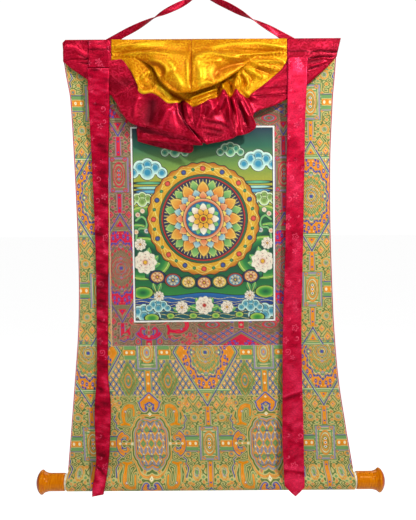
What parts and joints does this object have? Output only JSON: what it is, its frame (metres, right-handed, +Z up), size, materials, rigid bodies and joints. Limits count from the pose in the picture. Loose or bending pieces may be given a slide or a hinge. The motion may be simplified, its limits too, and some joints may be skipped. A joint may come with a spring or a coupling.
{
  "type": "thangka scroll painting",
  "caption": "Painting sewn into patterned brocade, hung by a tape from its top sleeve, with a roller and turned knobs below, ribbons, and a gathered silk cover.",
  "frame": {"origin": "the point that the hanging tape hangs from, at the top of its loop", "axes": "+Z up, -Y out of the painted front towards the viewer, +X to the viewer's right; the wall is the plane y = 0.009"},
  "size_m": [0.7418, 0.052, 1.0454],
  "materials": {
    "green_brocade": "green and orange figured silk brocade",
    "crimson_brocade": "crimson and taupe figured silk brocade",
    "painted_canvas": "painted cotton canvas",
    "yellow_silk": "glossy damask satin",
    "red_silk": "glossy damask satin",
    "ribbon_silk": "satin ribbon with a woven pattern",
    "gold_piping": "matte twill",
    "roller_wood": "bare pale wood",
    "amber_lacquer": "glossy amber lacquer"
  },
  "bodies": {
    "root": {"hanging_tape": "red_silk", "batten_sleeve": "red_silk", "top_panel": "green_brocade", "side_panel_left": "green_brocade", "side_panel_right": "green_brocade", "lower_panel": "green_brocade", "border_top": "crimson_brocade", "border_right": "crimson_brocade", "border_bottom": "crimson_brocade", "border_left": "crimson_brocade", "painting": "painted_canvas", "piping_left": "gold_piping", "piping_right": "gold_piping", "edge_piping_left": "red_silk", "edge_piping_right": "red_silk", "roller": "roller_wood", "knob_left": "amber_lacquer", "knob_right": "amber_lacquer", "cover_yellow_left": "yellow_silk", "cover_yellow_right": "yellow_silk", "cover_hem": "red_silk", "cover_side_left": "red_silk", "cover_side_right": "red_silk", "ribbon_left": "ribbon_silk", "ribbon_right": "ribbon_silk", "ribbon_tab": "ribbon_silk"}
  },
  "joints": []
}
